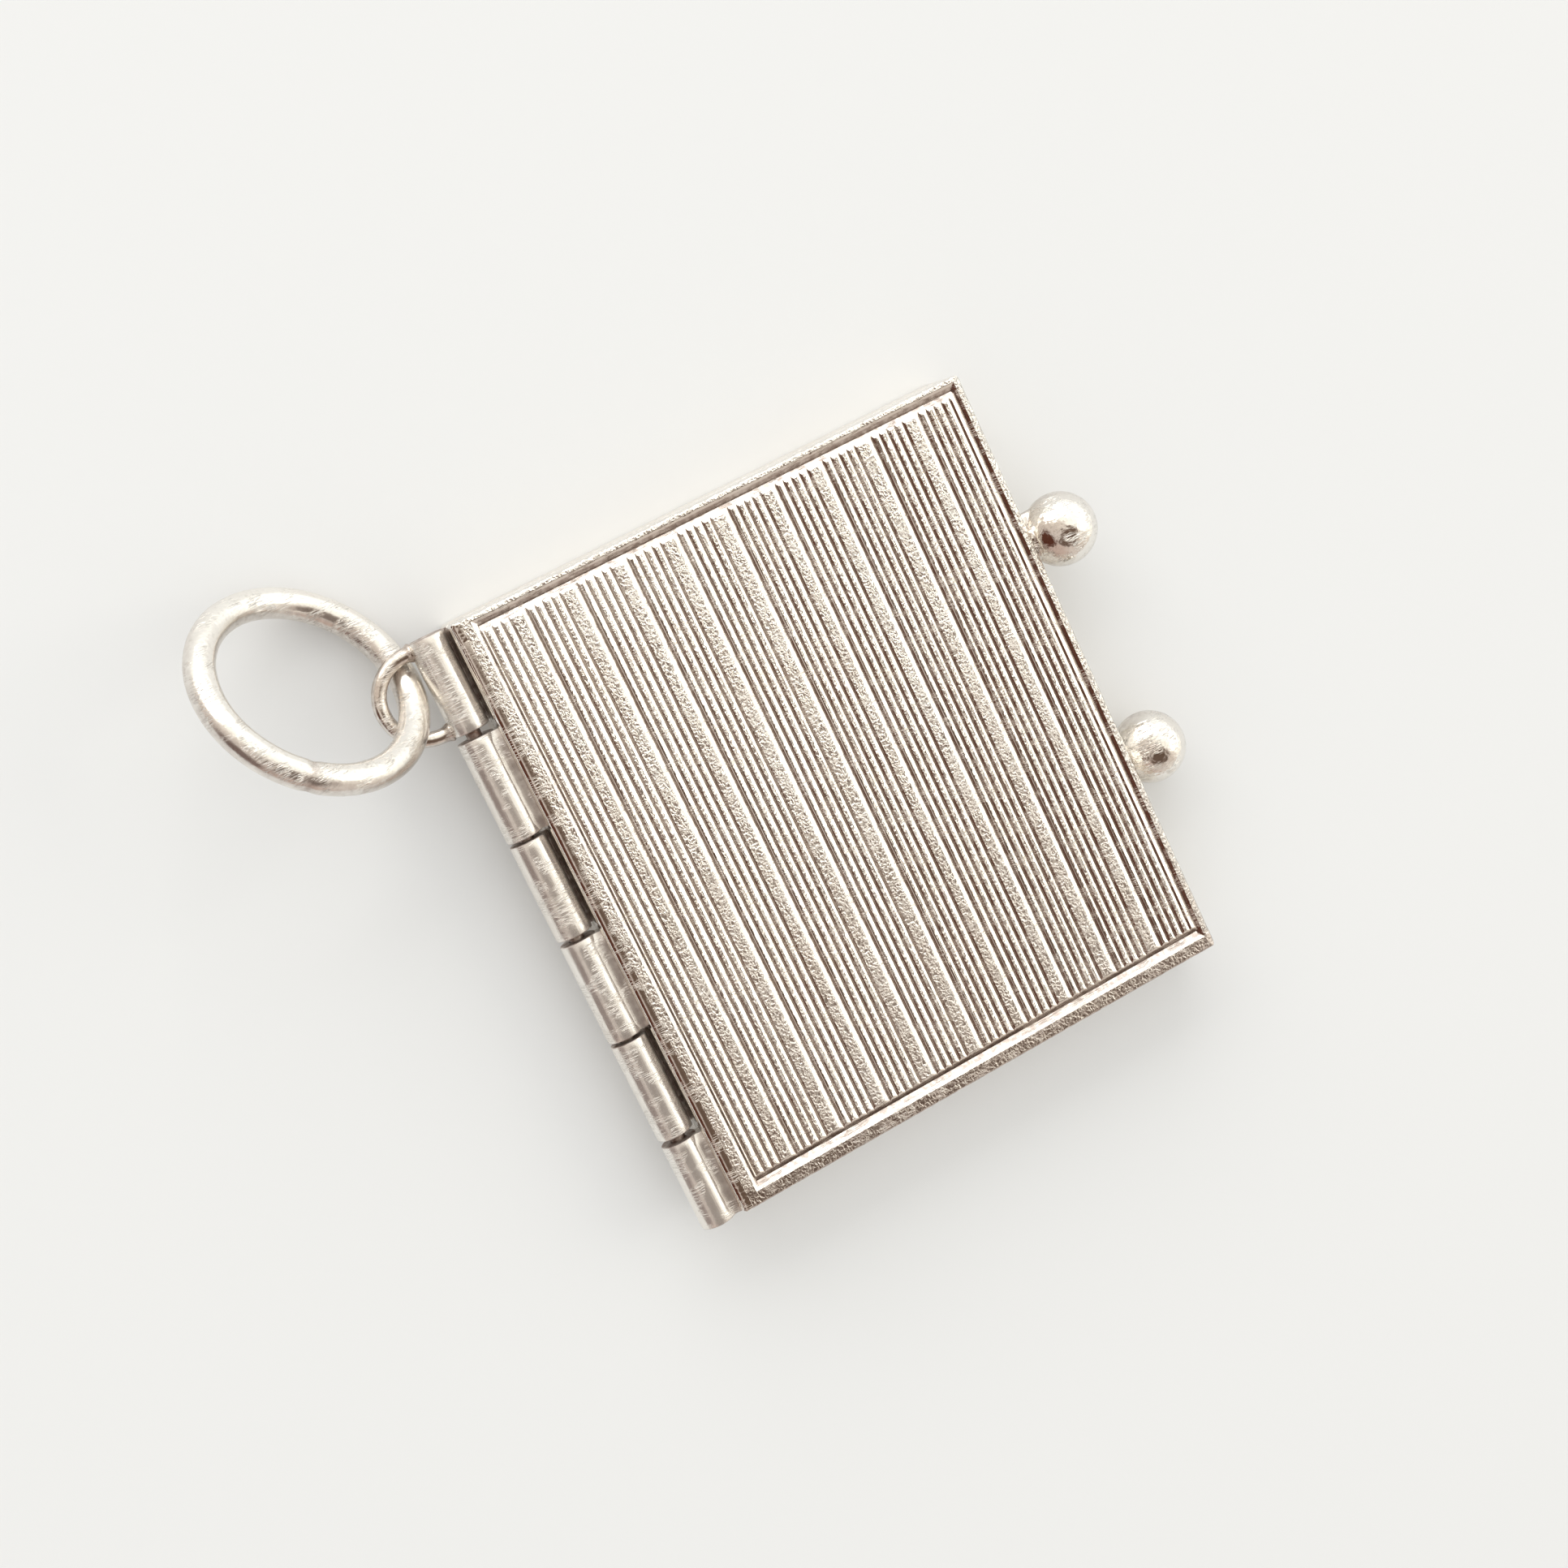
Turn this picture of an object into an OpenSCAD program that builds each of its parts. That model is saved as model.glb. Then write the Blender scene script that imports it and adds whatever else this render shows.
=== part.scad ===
// Book locket: two silver covers on a six-knuckle tube hinge, with two thumb balls,
// a wire loop on the top knuckle and a large jump ring through it.
// The origin is the middle of the back face. +X is the fore edge, +Y the top of the
// book, +Z comes up through the front cover.

/* [Covers] */
// Width of each cover, from the spine edge to the fore edge
cover_w = 22.2; // [21.8:0.1:23]
// Height of each cover, along the spine
cover_h = 25.4; // [25.2:0.1:26.4]
// Thickness of the back cover at its rim
back_t = 1.9; // [1.8:0.05:2]
// Thickness of the front cover at its rim
front_t = 1.3; // [1.25:0.05:1.4]
// Gap between the closed covers
cover_gap = 0.05; // [0.03:0.01:0.06]
// Radius of the corners, seen from the front
corner_r = 0.25; // [0.15:0.05:0.4]
// Worn bevel round the outer faces
edge_bevel = 0.12; // [0.08:0.02:0.2]
// Rounding of the spine shoulders of both covers
shoulder_r = 0.34; // [0.2:0.02:0.36]

/* [Photo recesses] */
// Rim left round each photo recess
recess_rim = 1.15; // [1:0.05:1.5]
// Depth of the recess in the back cover
back_recess = 1.3; // [0.8:0.05:1.4]
// Depth of the recess in the front cover
front_recess = 0.65; // [0.4:0.05:0.7]

/* [Panel] */
// Rim between the spine edge and the bottom of the border groove
spine_rim = 1.04; // [0.9:0.02:1.1]
// Rim between the fore edge and the bottom of the border groove
fore_rim = 0.42; // [0.4:0.02:0.5]
// Rim between the top edge and the bottom of the border groove
top_rim = 0.53; // [0.45:0.02:0.7]
// Rim between the foot edge and the bottom of the border groove
foot_rim = 0.85; // [0.6:0.05:0.95]
// Depth of the V groove that frames the panel
border_depth = 0.21; // [0.16:0.01:0.24]
// Depth of the fine V grooves
groove_depth = 0.15; // [0.1:0.01:0.18]
// Spacing of the fine grooves in a group
groove_pitch = 0.35; // [0.34:0.005:0.37]
// Grooves in a full group
grooves = 5; // [4:1:5]
// Spacing of the groups
group_pitch = 2.146; // [2.1:0.01:2.4]
// Place of the first full group, from the border groove at the spine
group_start = 1.885; // [1.8:0.01:1.95]

/* [Hinge] */
// Outer radius of the knuckle tube
knuckle_r = 0.75; // [0.7:0.01:0.78]
// Gap between the tube and the cover edges
knuckle_gap = 0.1; // [0.08:0.01:0.12]
// Height of the hinge axis above the back face
hinge_z = 2.2; // [2.15:0.01:2.25]
// Radius of the hinge pin
pin_r = 0.3; // [0.25:0.01:0.32]
// Running clearance between the pin and the knuckles
pin_play = 0.03; // [0.02:0.01:0.05]

/* [Thumb balls] */
// Radius of each ball
ball_r = 1.5; // [1.2:0.05:1.5]
// Gap between a ball and the fore edge
ball_gap = 0.12; // [0.1:0.01:0.2]
// Radius of the soldered neck behind each ball
neck_r = 0.5; // [0.4:0.05:0.5]
// Height of the ball on the front cover, along the spine
front_ball_y = 5.34; // [4:0.1:7]
// Height of the ball on the back cover, along the spine
back_ball_y = -4.48; // [-7:0.1:-3]

/* [Loop and ring] */
// Radius of the loop's wire
loop_wire_r = 0.25; // [0.2:0.01:0.26]
// Radius of the loop's bend, to the middle of its wire
loop_r = 1.62; // [1.6:0.01:1.66]
// Height of the loop's middle, along the spine
loop_y = 10.74; // [10.7:0.01:10.76]
// Radius of the jump ring's wire
ring_wire_r = 0.6; // [0.5:0.01:0.6]
// Radius of the jump ring, to the middle of its wire
ring_r = 4.1; // [4.08:0.01:4.12]
// Angle at which the ring leans on the loop, with its low side on the table
ring_lean = 45; // [44.8:0.1:45.2]
// Direction in which the ring leans down, from the fore edge towards the top
ring_turn = 37.4; // [37.2:0.1:37.6]

/* [Hidden] */
$fn = 64;

SILVER = [0.86, 0.84, 0.80];
BRIGHT_SILVER = [0.93, 0.92, 0.89];
STEEL = [0.62, 0.62, 0.62];

// Knuckles down the spine: upper end, lower end, 1 where the back cover carries it
KNUCKLES = [
    [12.70, 8.79, 1],
    [8.34, 4.15, 0],
    [4.03, -0.08, 1],
    [-0.45, -4.53, 0],
    [-4.71, -8.95, 1],
    [-9.27, -12.75, 0]
];
UPPER = 0;
LOWER = 1;
ON_BACK = 2;

front_z = back_t + cover_gap;
top_z = front_z + front_t;
edge_x = cover_w / 2;
edge_y = cover_h / 2;
hinge_x = -edge_x - knuckle_gap - knuckle_r;
bore_r = pin_r + pin_play;
ball_x = edge_x + ball_gap + ball_r;
// Depth by which a soldered piece runs into the cover behind it
seat = 0.2;
// Extra reach of a cutter past the solid that it cuts
past = 1;
arc_step = 30;

// Panel: its four border valleys, and how far any flank reaches for its depth
valley_x0 = -edge_x + spine_rim;
valley_x1 = edge_x - fore_rim;
valley_y0 = -edge_y + foot_rim;
valley_y1 = edge_y - top_rim;
valley_flat = 0.02;
flank_slope = 2 * groove_depth / groove_pitch;
border_z = top_z - border_depth;
panel_root = 0.1;

// The middles of the fine grooves that lie between the two border valleys
groups = ceil((valley_x1 - valley_x0) / group_pitch) + 1;
fine_grooves = [
    for (g = [0 : groups - 1], i = [0 : grooves - 1])
        let (x = valley_x0 + group_start + (g - 1) * group_pitch + i * groove_pitch)
        if (x > valley_x0 + 0.75 * groove_pitch && x < valley_x1 - 0.75 * groove_pitch)
            [x, groove_depth]
];

// Every valley across the panel, from the spine to the fore edge: place, depth
valleys = concat(
    [[valley_x0 + valley_flat, border_depth]],
    fine_grooves,
    [[valley_x1 - valley_flat, border_depth]]
);
PLACE = 0;
DEPTH = 1;

// What stands between two valleys: a flat, or one crest where their flanks meet
function flat_between(a, b) =
    b[PLACE] - a[PLACE] - (a[DEPTH] + b[DEPTH]) / flank_slope;
function crest_x(a, b) =
    (a[PLACE] + b[PLACE]) / 2 + (a[DEPTH] - b[DEPTH]) / (2 * flank_slope);
function ridge(a, b) =
    flat_between(a, b) > 0.01
    ? [[a[PLACE] + a[DEPTH] / flank_slope, top_z], [b[PLACE] - b[DEPTH] / flank_slope, top_z]]
    : [[crest_x(a, b), top_z - a[DEPTH] + flank_slope * (crest_x(a, b) - a[PLACE])]];

function valley_bottom(v) = [v[PLACE], top_z - v[DEPTH]];

// Section of the panel across its grooves
panel_section = concat(
    [[valleys[0][PLACE], border_z - panel_root]],
    [for (k = [0 : len(valleys) - 2])
        each concat([valley_bottom(valleys[k])], ridge(valleys[k], valleys[k + 1]))],
    [valley_bottom(valleys[len(valleys) - 1])],
    [[valleys[len(valleys) - 1][PLACE], border_z - panel_root]]
);

// A quarter circle of points, from one angle to the next
function quarter(cx, cy, r, from) =
    [for (a = [from : arc_step : from + 90]) [cx + r * cos(a), cy + r * sin(a)]];

// Extrude a section drawn across the book (x, z) along its height
module along_height(length) {
    rotate([90, 0, 0])
        linear_extrude(length, center = true)
            children();
}

// Extrude a section drawn up the book (y, z) across its width
module across_width(length) {
    rotate([90, 0, 90])
        linear_extrude(length, center = true)
            children();
}

// One cover blank, flat inner face at z = 0 and worn outer face at z = t
module cover_blank(t) {
    inner_x = edge_x - corner_r;
    inner_y = edge_y - corner_r;
    intersection() {
        along_height(cover_h + 2 * past)
            polygon(concat(
                [[-edge_x, 0], [edge_x, 0], [edge_x, t - edge_bevel], [edge_x - edge_bevel, t]],
                quarter(-edge_x + shoulder_r, t - shoulder_r, shoulder_r, 90)
            ));
        across_width(cover_w + 2 * past)
            polygon([
                [-edge_y, 0], [edge_y, 0],
                [edge_y, t - edge_bevel], [edge_y - edge_bevel, t],
                [-edge_y + edge_bevel, t], [-edge_y, t - edge_bevel]
            ]);
        linear_extrude(t)
            polygon(concat(
                quarter(inner_x, inner_y, corner_r, 0),
                quarter(-inner_x, inner_y, corner_r, 90),
                quarter(-inner_x, -inner_y, corner_r, 180),
                quarter(inner_x, -inner_y, corner_r, 270)
            ));
    }
}

// A recess for a photo, sunk into the inner face of a cover
module photo_recess(z, depth) {
    translate([-edge_x + recess_rim, -edge_y + recess_rim, z])
        cube([cover_w - 2 * recess_rim, cover_h - 2 * recess_rim, depth]);
}

// The bed of the panel: a shallow pan whose four sides are the outer flanks of the border
module panel_bed() {
    spread = (border_depth + past) / flank_slope;
    intersection() {
        along_height(cover_h)
            polygon([
                [valley_x0, border_z], [valley_x1, border_z],
                [valley_x1 + spread, top_z + past], [valley_x0 - spread, top_z + past]
            ]);
        across_width(cover_w + 2 * spread)
            polygon([
                [valley_y0, border_z], [valley_y1, border_z],
                [valley_y1 + spread, top_z + past], [valley_y0 - spread, top_z + past]
            ]);
    }
}

// The grooved panel, with its two ends cut back by the border groove
module grooved_panel() {
    run = (border_depth + past) / flank_slope;
    end_y0 = valley_y0 + valley_flat;
    end_y1 = valley_y1 - valley_flat;
    intersection() {
        along_height(cover_h)
            polygon(panel_section);
        across_width(cover_w)
            polygon([
                [end_y0, border_z - past], [end_y1, border_z - past],
                [end_y1, border_z], [end_y1 - run, top_z + past],
                [end_y0 + run, top_z + past], [end_y0, border_z]
            ]);
    }
}

// The knuckles of one cover, with the solder that seats them on its spine edge
module knuckles(on_back, solder_z0, solder_z1) {
    for (k = KNUCKLES)
        if (k[ON_BACK] == on_back) {
            length = k[UPPER] - k[LOWER];
            translate([hinge_x, k[UPPER], hinge_z])
                rotate([90, 0, 0])
                    cylinder(r = knuckle_r, h = length);
            translate([hinge_x + knuckle_r / 2, k[LOWER] + seat / 2, solder_z0])
                cube([knuckle_r / 2 + knuckle_gap + seat, length - seat, solder_z1 - solder_z0]);
        }
}

// The bore through all the knuckles
module hinge_bore() {
    translate([hinge_x, 0, hinge_z])
        rotate([90, 0, 0])
            cylinder(r = bore_r, h = cover_h + 2 * past, center = true);
}

// A thumb ball and the neck that solders it to the fore edge
module thumb_ball(y, z, neck_z) {
    translate([ball_x, y, z])
        sphere(r = ball_r);
    translate([edge_x - seat, y, neck_z])
        rotate([0, 90, 0])
            cylinder(r = neck_r, h = ball_gap + ball_r / 2 + seat);
}

// The D-shaped wire loop, level with the hinge axis, its arms soldered to the top knuckle
module wire_loop() {
    arm_x = hinge_x - knuckle_r + seat;
    bend_x = hinge_x - knuckle_r - loop_wire_r + 0.02;
    translate([bend_x, loop_y, hinge_z])
        rotate([0, 0, 90])
            rotate_extrude(angle = 180)
                translate([loop_r, 0])
                    circle(r = loop_wire_r);
    for (side = [-1, 1])
        translate([bend_x, loop_y + side * loop_r, hinge_z])
            rotate([0, 90, 0])
                cylinder(r = loop_wire_r, h = arm_x - bend_x);
}

module back_cover() {
    color(SILVER)
        difference() {
            union() {
                difference() {
                    translate([0, 0, back_t])
                        mirror([0, 0, 1])
                            cover_blank(back_t);
                    photo_recess(back_t - back_recess, back_recess + past);
                }
                knuckles(1, hinge_z - knuckle_r + 0.05, back_t - 0.05);
                thumb_ball(back_ball_y, ball_r + 0.02, back_t - neck_r - 0.2);
                wire_loop();
            }
            hinge_bore();
        }
}

module front_cover() {
    color(SILVER)
        difference() {
            union() {
                difference() {
                    translate([0, 0, front_z])
                        cover_blank(front_t);
                    photo_recess(front_z - past, front_recess + past);
                    panel_bed();
                }
                grooved_panel();
                knuckles(0, front_z + 0.05, hinge_z + 0.4);
                thumb_ball(front_ball_y, hinge_z + 0.25, front_z + neck_r + 0.05);
            }
            hinge_bore();
        }
}

// The wire pin, flush with the outer ends of the first and last knuckles
module hinge_pin() {
    color(STEEL)
        translate([hinge_x, KNUCKLES[0][UPPER] - 0.02, hinge_z])
            rotate([90, 0, 0])
                cylinder(r = pin_r, h = KNUCKLES[0][UPPER] - KNUCKLES[5][LOWER] - 0.04);
}

// The jump ring, threaded through the loop and resting on the table with its low side
module jump_ring() {
    ring_x = hinge_x - 4.74;
    ring_y = loop_y + 2.17;
    ring_z = ring_r * sin(ring_lean) + ring_wire_r;
    color(BRIGHT_SILVER)
        translate([ring_x, ring_y, ring_z])
            rotate([0, ring_lean, ring_turn])
                rotate_extrude()
                    translate([ring_r, 0])
                        circle(r = ring_wire_r);
}

back_cover();
front_cover();
hinge_pin();
jump_ring();
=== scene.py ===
import math
import bpy
import numpy as np
from mathutils import Matrix, Vector, noise


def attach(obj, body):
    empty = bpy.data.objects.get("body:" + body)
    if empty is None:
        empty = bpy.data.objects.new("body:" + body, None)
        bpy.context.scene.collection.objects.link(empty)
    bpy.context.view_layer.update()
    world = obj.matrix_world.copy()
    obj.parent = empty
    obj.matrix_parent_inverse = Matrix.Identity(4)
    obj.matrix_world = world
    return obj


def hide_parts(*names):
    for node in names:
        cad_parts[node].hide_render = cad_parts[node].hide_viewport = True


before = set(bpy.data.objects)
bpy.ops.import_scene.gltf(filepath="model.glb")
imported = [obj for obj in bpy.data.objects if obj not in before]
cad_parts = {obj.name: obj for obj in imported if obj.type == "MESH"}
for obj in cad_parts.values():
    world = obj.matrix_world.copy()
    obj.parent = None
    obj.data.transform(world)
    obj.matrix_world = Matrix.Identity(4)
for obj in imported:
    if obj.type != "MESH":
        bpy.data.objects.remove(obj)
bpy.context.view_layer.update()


# THE VIEW
# The finished locket lies on a pale table, looked down on from above its top left corner.
# The camera's place and the picture's axes are in the locket's own frame, in millimetres.
MM = 0.001
camera_at = Vector((-21.19, 17.19, 90.68)) * MM
looking = Vector((0.2086, -0.1720, -0.9628)).normalized()
picture_right = Vector((0.8643, -0.4282, 0.2638))
lens_mm = 54.04
film_mm = 36.0

camera = bpy.data.objects.new("view", bpy.data.cameras.new("view"))
bpy.context.scene.collection.objects.link(camera)
bpy.context.scene.camera = camera
camera.data.lens = lens_mm
camera.data.sensor_width = film_mm
camera.data.clip_start = 0.005
camera.data.clip_end = 20
picture_right = (picture_right - looking * picture_right.dot(looking)).normalized()
picture_up = picture_right.cross(looking)
camera.matrix_world = Matrix.Translation(camera_at) @ Matrix(
    (picture_right, picture_up, -looking)
).transposed().to_4x4()


# THE TABLE AND THE ROOM
# A plain pale table top, and the soft light of a pale room: windows on the right and behind
# the top edge, and warmer, darker walls on the left and in front, which the silver mirrors.
table_drop = 0.02 * MM
table_half = 2.0
table_colour = (0.86, 0.86, 0.85, 1)

mesh = bpy.data.meshes.new("table_top")
corners = [
    (-table_half, -table_half), (table_half, -table_half),
    (table_half, table_half), (-table_half, table_half),
]
mesh.from_pydata([(x, y, -table_drop) for x, y in corners], [], [(0, 1, 2, 3)])
table_top = bpy.data.objects.new("table_top", mesh)
bpy.context.scene.collection.objects.link(table_top)
pale = bpy.data.materials.new("pale_table")
pale.use_nodes = True
shader = pale.node_tree.nodes["Principled BSDF"]
shader.inputs["Base Color"].default_value = table_colour
shader.inputs["Roughness"].default_value = 0.75
shader.inputs["Specular IOR Level"].default_value = 0.2
mesh.materials.append(pale)

# Which way the room gets brighter, and its colour from the darkest side to the brightest
bright_side = Vector((0.66, 0.62, 0.0))
room_colours = [
    (-0.85, (0.56, 0.43, 0.37)),
    (-0.50, (0.68, 0.60, 0.54)),
    (-0.20, (0.66, 0.57, 0.50)),
    (0.04, (0.80, 0.71, 0.62)),
    (0.26, (1.16, 1.12, 1.01)),
    (0.80, (1.30, 1.29, 1.25)),
]
# Two dark parts of the room that the silver mirrors: direction, cosine at the outer edge and
# at the core, and what is left of the room's light there
dark_parts = [
    (Vector((-0.08, -0.46, 0.88)), 0.80, 0.94, (0.20, 0.15, 0.125)),
    (Vector((-0.93, -0.12, 0.33)), 0.85, 0.965, (0.16, 0.07, 0.05)),
]
backdrop_colour = (0.80, 0.80, 0.785, 1)
room_light = (0.80, 0.80, 0.79, 1)

room = bpy.data.worlds.new("room")
bpy.context.scene.world = room
room.use_nodes = True
nodes, links = room.node_tree.nodes, room.node_tree.links
nodes.clear()
place = nodes.new("ShaderNodeTexCoord")
along = nodes.new("ShaderNodeVectorMath")
along.operation = "DOT_PRODUCT"
along.inputs[1].default_value = bright_side
share = nodes.new("ShaderNodeMapRange")
share.inputs["From Min"].default_value = -1
share.inputs["From Max"].default_value = 1
walls = nodes.new("ShaderNodeValToRGB")
walls.color_ramp.interpolation = "EASE"
for k, (side, colour) in enumerate(room_colours):
    position = (side + 1) / 2
    stop = walls.color_ramp.elements[0] if k == 0 else walls.color_ramp.elements.new(position)
    stop.position = position
    stop.color = (*colour, 1)
walls.color_ramp.elements.remove(walls.color_ramp.elements[-1])
mirrored = nodes.new("ShaderNodeBackground")
room_shade = walls.outputs["Color"]
for towards, edge, core, dark in dark_parts:
    toward = nodes.new("ShaderNodeVectorMath")
    toward.operation = "DOT_PRODUCT"
    toward.inputs[1].default_value = towards.normalized()
    shape = nodes.new("ShaderNodeMapRange")
    shape.interpolation_type = "SMOOTHSTEP"
    shape.inputs["From Min"].default_value = edge
    shape.inputs["From Max"].default_value = core
    shade = nodes.new("ShaderNodeMix")
    shade.data_type = "RGBA"
    shade.blend_type = "MULTIPLY"
    shade.inputs[7].default_value = (*dark, 1)
    links.new(place.outputs["Generated"], toward.inputs[0])
    links.new(toward.outputs["Value"], shape.inputs["Value"])
    links.new(shape.outputs["Result"], shade.inputs["Factor"])
    links.new(room_shade, shade.inputs[6])
    room_shade = shade.outputs[2]
# The silver mirrors the room, the table is lit evenly, and the backdrop stays plain
behind = nodes.new("ShaderNodeBackground")
behind.inputs["Color"].default_value = backdrop_colour
soft = nodes.new("ShaderNodeBackground")
soft.inputs["Color"].default_value = room_light
seen = nodes.new("ShaderNodeLightPath")
by_kind = nodes.new("ShaderNodeMixShader")
choose = nodes.new("ShaderNodeMixShader")
out = nodes.new("ShaderNodeOutputWorld")
links.new(place.outputs["Generated"], along.inputs[0])
links.new(along.outputs["Value"], share.inputs["Value"])
links.new(share.outputs["Result"], walls.inputs["Fac"])
links.new(room_shade, mirrored.inputs["Color"])
links.new(seen.outputs["Is Camera Ray"], choose.inputs["Fac"])
links.new(seen.outputs["Is Diffuse Ray"], by_kind.inputs["Fac"])
links.new(mirrored.outputs["Background"], by_kind.inputs[1])
links.new(soft.outputs["Background"], by_kind.inputs[2])
links.new(by_kind.outputs["Shader"], choose.inputs[1])
links.new(behind.outputs["Background"], choose.inputs[2])
links.new(choose.outputs["Shader"], out.inputs["Surface"])

window_away = 0.6


def room_window(name, towards, width, height, watts, colour):
    """A soft window of the room, facing the locket from a direction; sizes are in metres."""
    light = bpy.data.lights.new(name, "AREA")
    light.shape = "RECTANGLE"
    light.size, light.size_y = width, height
    light.energy = watts
    light.color = colour
    lamp = bpy.data.objects.new(name, light)
    bpy.context.scene.collection.objects.link(lamp)
    direction = Vector(towards).normalized()
    lamp.location = direction * window_away
    lamp.rotation_mode = "QUATERNION"
    lamp.rotation_quaternion = direction.to_track_quat("Z", "Y")


room_window("right_window", (0.80, -0.05, 0.50), 0.42, 0.30, watts=0.46, colour=(1.0, 0.97, 0.88))
room_window("far_window", (-0.05, 0.86, 0.45), 0.70, 0.36, watts=1.5, colour=(1.0, 1.0, 1.0))
bpy.context.scene.view_settings.view_transform = "Standard"


# BACK COVER
# A shallow tray of sterling sheet, plain outside and sunk inside for a photo.
# Its outer edge is worn round, its spine shoulder more so, and its inner rim is filed flat.
cover_w, cover_h = 22.2, 25.4
half_w, half_h = cover_w / 2, cover_h / 2
back_t = 1.9
corner_r = 0.25
edge_r = 0.12
shoulder_r = 0.34
inner_edge = 0.04
recess_rim = 1.15
recess_bevel = 0.003
back_recess = 1.3
# How tarnished and how rubbed the metal is inside the covers and on the plain back
inside_grime, inside_rub = 0.12, 0.2
back_grime, back_rub = 0.05, 0.3
# Long wear has left faint dents in the back: depth, dents per millimetre, and how far in from
# the edge they reach their full depth
worn_depth = 0.012
worn_grain = 0.35
worn_from_edge = 2
plain_spacing = 0.6
closest_lines = 0.004

SILVER = (0.95, 0.925, 0.875)
WARM_SILVER = (0.87, 0.81, 0.735)
DULL_SILVER = (0.60, 0.565, 0.51)
# The colour of tarnish, used as well for shade painted into gaps, crevices and outlines
TARNISH_AND_SHADE = (0.20, 0.11, 0.08)


def silver(name, rough, streaks, dents, pits, scratches, warmth=0.5, matt=0.0, satin=0.0):
    """Sterling silver: rough is its low and high roughness; streaks along the book, broad
    dents, fine pits, scratches and the curls of a matt band are given in micrometres. A satin
    share of the light spreads in a handled skin instead of being mirrored."""
    metal = bpy.data.materials.new(name)
    metal.use_nodes = True
    nodes, links = metal.node_tree.nodes, metal.node_tree.links
    shader = nodes["Principled BSDF"]
    shader.inputs["Metallic"].default_value = 1.0 - satin
    place = nodes.new("ShaderNodeTexCoord")

    def cloud(scale, detail, stretch=(1, 1, 1), turn=0):
        fit = nodes.new("ShaderNodeMapping")
        fit.inputs["Scale"].default_value = stretch
        fit.inputs["Rotation"].default_value = (0, 0, math.radians(turn))
        grain = nodes.new("ShaderNodeTexNoise")
        grain.inputs["Scale"].default_value = scale
        grain.inputs["Detail"].default_value = detail
        links.new(place.outputs["Object"], fit.inputs["Vector"])
        links.new(fit.outputs["Vector"], grain.inputs["Vector"])
        return grain.outputs["Fac"]

    def span(value, low, high, to_low=0.0, to_high=1.0):
        fit = nodes.new("ShaderNodeMapRange")
        for socket, number in zip(fit.inputs[1:5], (low, high, to_low, to_high)):
            socket.default_value = number
        links.new(value, fit.inputs["Value"])
        return fit.outputs["Result"]

    def both(kind, a, b):
        node = nodes.new("ShaderNodeMath")
        node.operation = kind
        for socket, value in zip(node.inputs, (a, b)):
            if isinstance(value, float):
                socket.default_value = value
            else:
                links.new(value, socket)
        return node.outputs["Value"]

    def blend_colour(share, a, b):
        node = nodes.new("ShaderNodeMix")
        node.data_type = "RGBA"
        links.new(share, node.inputs["Factor"])
        for socket, value in zip((node.inputs[6], node.inputs[7]), (a, b)):
            if isinstance(value, tuple):
                socket.default_value = (*value, 1)
            else:
                links.new(value, socket)
        return node.outputs[2]

    def painted(label):
        layer = nodes.new("ShaderNodeAttribute")
        layer.attribute_name = label
        return layer.outputs["Fac"]

    # How fine each kind of mark is, in grains per metre
    stain_grain, gap_grain, handling_grain, dent_grain = 310.0, 1300.0, 1500.0, 1700.0
    tarnish_and_shade_grain, curl_grain, pit_grain, streak_grain = 3600.0, 5200.0, 7500.0, 8500.0
    # Two directions of hairline scratches, in degrees, and how fine each is
    scratch_ways = ((24, 700.0), (-52, 900.0))

    # Hairline scratches: the thin level lines of a stretched cloud, broken by gaps
    lines = None
    for turn, size in scratch_ways:
        streak = cloud(size, 2.0, (1, 12, 1), turn)
        line = span(both("ABSOLUTE", both("SUBTRACT", streak, 0.5), 0.0), 0.0, 0.03, 1.0, 0.0)
        lines = line if lines is None else both("MAXIMUM", lines, line)
    lines = both("MULTIPLY", lines, span(cloud(gap_grain, 1.0), 0.48, 0.60))
    # Curled marks of the matt bands: folds of a fine cloud
    curl_cloud = cloud(curl_grain, 2.0, (1, 0.8, 1))
    folds = both("ABSOLUTE", both("SUBTRACT", curl_cloud, 0.5), 0.0)
    curls = span(folds, 0.0, 0.16, 1.0, 0.0)
    rubbed = painted("rubbed")
    pitting = cloud(pit_grain, 2.0)
    tone = span(cloud(stain_grain, 3.0), 0.32, 0.72, 0.0, warmth)
    tarnish_and_shade_mask = both("MULTIPLY", painted("tarnish_and_shade"), span(cloud(tarnish_and_shade_grain, 3.0), 0.30, 0.60, 0.40, 1.0))

    # Colour: warm stains, dull matt marks and pits, then the tarnish and the painted shade on top
    matt_marks = both("MULTIPLY", rubbed, span(curls, 0.2, 0.9, 0.30, 0.0))
    pit_marks = span(pitting, 0.56, 0.70, 0.0, min(0.4, 0.07 * pits))
    colour = blend_colour(tone, SILVER, WARM_SILVER)
    colour = blend_colour(matt_marks, colour, DULL_SILVER)
    colour = blend_colour(pit_marks, colour, DULL_SILVER)
    colour = blend_colour(tarnish_and_shade_mask, colour, TARNISH_AND_SHADE)
    links.new(colour, shader.inputs["Base Color"])

    # Roughness: handling, and more of it on rubbed, scratched and tarnished metal and where shade is
    # painted
    shine = span(cloud(handling_grain, 3.0), 0.25, 0.75, rough[0], rough[1])
    for marks, more in ((rubbed, 0.13), (lines, 0.08), (tarnish_and_shade_mask, 0.22)):
        shine = both("ADD", shine, span(marks, 0.0, 1.0, 0.0, more))
    links.new(shine, shader.inputs["Roughness"])

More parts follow.
